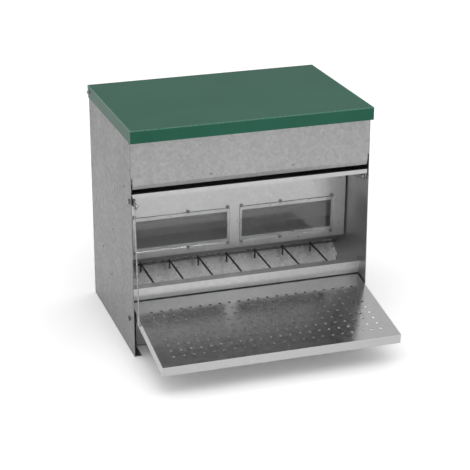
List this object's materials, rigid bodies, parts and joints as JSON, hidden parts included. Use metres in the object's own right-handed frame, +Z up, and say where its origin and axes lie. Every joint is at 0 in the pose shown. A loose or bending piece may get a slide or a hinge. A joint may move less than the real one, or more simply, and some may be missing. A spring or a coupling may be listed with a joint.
{
  "type": "treadle chicken feeder",
  "caption": "Sheet-steel poultry feeder whose foot treadle swings a windowed flap open over a feed trough, with a hinged lid over the hopper.",
  "frame": {"origin": "centre of the bounding box at the floor", "axes": "+Z up, -Y towards the treadle and the birds, +X to the right seen from the front"},
  "size_m": [0.5108, 0.5488, 0.4855],
  "materials": {
    "galvanised": "spangled satin zinc",
    "zinc_hardware": "dull zinc plate",
    "green_paint": "satin powder coat",
    "clear_window": "clear plastic"
  },
  "bodies": {
    "cabinet": {"side_panel_left": "galvanised", "side_panel_right": "galvanised", "back_panel": "galvanised", "front_panel": "galvanised", "hopper_front_wall": "galvanised", "hopper_floor": "galvanised", "trough_lip": "galvanised", "kick_panel": "galvanised", "feed_grille": "zinc_hardware", "panel_rivets_left": "zinc_hardware", "panel_rivets_right": "zinc_hardware", "front_panel_rivets": "zinc_hardware", "lip_rivets": "zinc_hardware", "lid_hinge_screws": "zinc_hardware", "lid_hinge_nuts": "zinc_hardware", "flap_pivot_bolts": "zinc_hardware", "flap_pivot_spacers": "zinc_hardware", "flap_pivot_nuts": "zinc_hardware", "treadle_pivot_bolts": "zinc_hardware", "treadle_pivot_spacers": "zinc_hardware", "treadle_pivot_nuts": "zinc_hardware"},
    "lid": {"lid": "green_paint"},
    "flap": {"flap_panel": "galvanised", "flap_ear_left": "zinc_hardware", "flap_ear_right": "zinc_hardware", "flap_ear_rivets": "zinc_hardware", "window_left": "clear_window", "window_right": "clear_window", "window_clips": "zinc_hardware"},
    "treadle": {"treadle_plate": "galvanised", "treadle_arm_left": "zinc_hardware", "treadle_arm_right": "zinc_hardware", "treadle_arm_rivets": "zinc_hardware", "treadle_stiffener": "galvanised"},
    "link": {"link_rod": "zinc_hardware", "link_clips": "zinc_hardware"}
  },
  "joints": [
    {"name": "lid_hinge", "type": "hinge", "parent": "cabinet", "child": "lid", "pos_m": [0, 0.2642, 0.462], "axis": [-1, 0, 0], "range_deg": [0, 95]},
    {"name": "treadle_tilt", "type": "hinge", "parent": "cabinet", "child": "treadle", "pos_m": [0, -0.0358, 0.071], "axis": [-1, 0, 0], "range_deg": [0, 9]},
    {"name": "flap_swing", "type": "hinge", "parent": "cabinet", "child": "flap", "pos_m": [0, -0.0588, 0.333], "axis": [-1, 0, 0], "range_deg": [0, 20.51]},
    {"name": "link_swing", "type": "hinge", "parent": "treadle", "child": "link", "pos_m": [0, -0.1078, 0.085], "axis": [-1, 0, 0], "range_deg": [-9.29, 0]}
  ],
  "couplings": [
    {"joint": "flap_swing", "follows": "treadle_tilt", "ratio": 2.2778},
    {"joint": "link_swing", "follows": "treadle_tilt", "ratio": -1.032}
  ]
}
